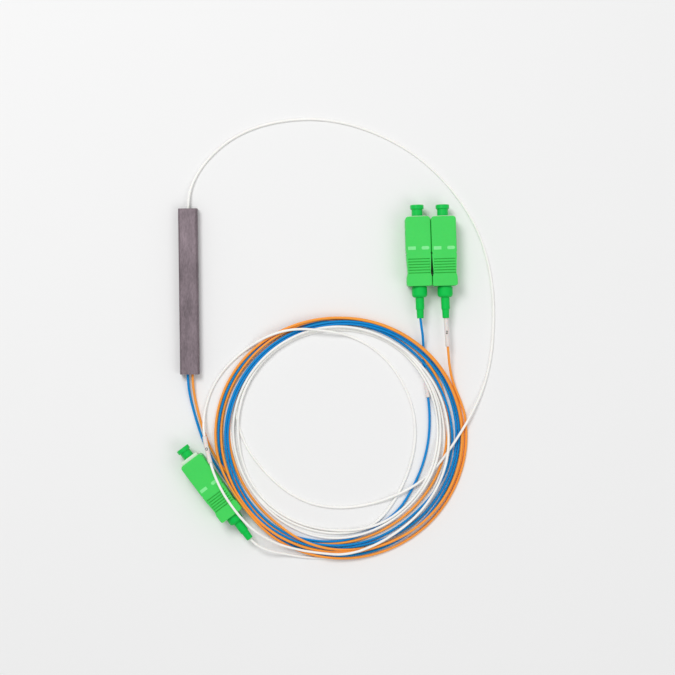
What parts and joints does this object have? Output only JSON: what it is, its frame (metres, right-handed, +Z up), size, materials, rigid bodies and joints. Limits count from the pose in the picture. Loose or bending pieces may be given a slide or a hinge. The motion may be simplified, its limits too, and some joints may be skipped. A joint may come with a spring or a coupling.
{
  "type": "plc fibre splitter",
  "caption": "Optical fibre splitter in a flat steel tube, with coiled buffered fibre leads that end in push-pull angled plugs under dust caps.",
  "frame": {"origin": "middle of the steel tube's underside, on the surface that the part lies on", "axes": "+Y along the steel tube, from the output end to the input end, +X towards the coiled leads, +Z up"},
  "size_m": [0.1156, 0.1604, 0.0123],
  "materials": {
    "tube_steel": "satin steel, fine grain along the tube",
    "seal_rubber": "soft black sealant, matt",
    "plug_green": "moulded green plastic, smooth",
    "frame_ivory": "moulded ivory plastic, smooth",
    "cap_green": "moulded green plastic, smooth",
    "boot_green": "soft green moulding, smooth",
    "ferrule_ceramic": "white ceramic, ground round, tip at an angle",
    "flange_metal": "plated metal, turned",
    "spring_steel": "wire, drawn",
    "post_metal": "plated metal, turned, with rings",
    "fibre_white": "soft tight buffer, smooth",
    "fibre_blue": "soft tight buffer, smooth",
    "fibre_orange": "soft tight buffer, smooth",
    "sleeve_white": "soft sleeve, smooth",
    "chip_glass": "clear, polished faces",
    "bed_plastic": "moulded, matt"
  },
  "bodies": {
    "splitter": {"back_post_1": "post_metal", "back_post_2": "post_metal", "back_post_3": "post_metal", "blue_lead": "fibre_blue", "blue_tail": "fibre_blue", "boot_1": "boot_green", "boot_2": "boot_green", "boot_3": "boot_green", "chip_bed": "bed_plastic", "chip_lid": "chip_glass", "ferrule_spring_1": "spring_steel", "ferrule_spring_2": "spring_steel", "ferrule_spring_3": "spring_steel", "fibre_coil": "fibre_white", "fibre_end_1": "fibre_blue", "fibre_end_2": "fibre_orange", "fibre_end_3": "fibre_white", "input_block": "chip_glass", "input_block_lid": "chip_glass", "input_glass_fibre": "chip_glass", "input_seal": "seal_rubber", "number_sleeve_1": "sleeve_white", "number_sleeve_2": "sleeve_white", "number_sleeve_3": "sleeve_white", "orange_lead": "fibre_orange", "orange_tail": "fibre_orange", "output_block": "chip_glass", "output_block_lid": "chip_glass", "output_glass_fibres": "chip_glass", "output_seal": "seal_rubber", "plug_frame_1": "frame_ivory", "plug_frame_2": "frame_ivory", "plug_frame_3": "frame_ivory", "splitter_chip": "chip_glass", "steel_tube": "tube_steel", "white_inner": "fibre_white", "white_lead": "fibre_white", "white_loop": "fibre_white", "white_tail": "fibre_white"},
    "grip_1": {"housing_1": "plug_green"},
    "tip_1": {"ferrule_1": "ferrule_ceramic", "ferrule_flange_1": "flange_metal"},
    "cap_1": {"dust_cap_1": "cap_green"},
    "grip_2": {"housing_2": "plug_green"},
    "tip_2": {"ferrule_2": "ferrule_ceramic", "ferrule_flange_2": "flange_metal"},
    "cap_2": {"dust_cap_2": "cap_green"},
    "grip_3": {"housing_3": "plug_green"},
    "tip_3": {"ferrule_3": "ferrule_ceramic", "ferrule_flange_3": "flange_metal"},
    "cap_3": {"dust_cap_3": "cap_green"}
  },
  "joints": [
    {"name": "grip_slide_1", "type": "slide", "parent": "splitter", "child": "grip_1", "axis": [0.0192, -0.9998, 0], "range_m": [0, 0.0018]},
    {"name": "ferrule_push_1", "type": "slide", "parent": "splitter", "child": "tip_1", "axis": [0.0192, -0.9998, 0], "range_m": [0, 0.0015], "stiffness_N_per_m": 1600, "springref_m": -0.001, "deforming": ["ferrule_spring_1"]},
    {"name": "cap_pull_1", "type": "slide", "parent": "splitter", "child": "cap_1", "axis": [-0.0192, 0.9998, 0], "range_m": [0, 0.015]},
    {"name": "grip_slide_2", "type": "slide", "parent": "splitter", "child": "grip_2", "axis": [0.0192, -0.9998, 0], "range_m": [0, 0.0018]},
    {"name": "ferrule_push_2", "type": "slide", "parent": "splitter", "child": "tip_2", "axis": [0.0192, -0.9998, 0], "range_m": [0, 0.0015], "stiffness_N_per_m": 1600, "springref_m": -0.001, "deforming": ["ferrule_spring_2"]},
    {"name": "cap_pull_2", "type": "slide", "parent": "splitter", "child": "cap_2", "axis": [-0.0192, 0.9998, 0], "range_m": [0, 0.015]},
    {"name": "grip_slide_3", "type": "slide", "parent": "splitter", "child": "grip_3", "axis": [0.5892, -0.808, 0], "range_m": [-0.001, 0.0008]},
    {"name": "ferrule_push_3", "type": "slide", "parent": "splitter", "child": "tip_3", "axis": [0.5892, -0.808, 0], "range_m": [0, 0.0015], "stiffness_N_per_m": 1600, "springref_m": -0.001, "deforming": ["ferrule_spring_3"]},
    {"name": "cap_pull_3", "type": "slide", "parent": "splitter", "child": "cap_3", "axis": [-0.5892, 0.808, 0], "range_m": [0, 0.015]}
  ]
}
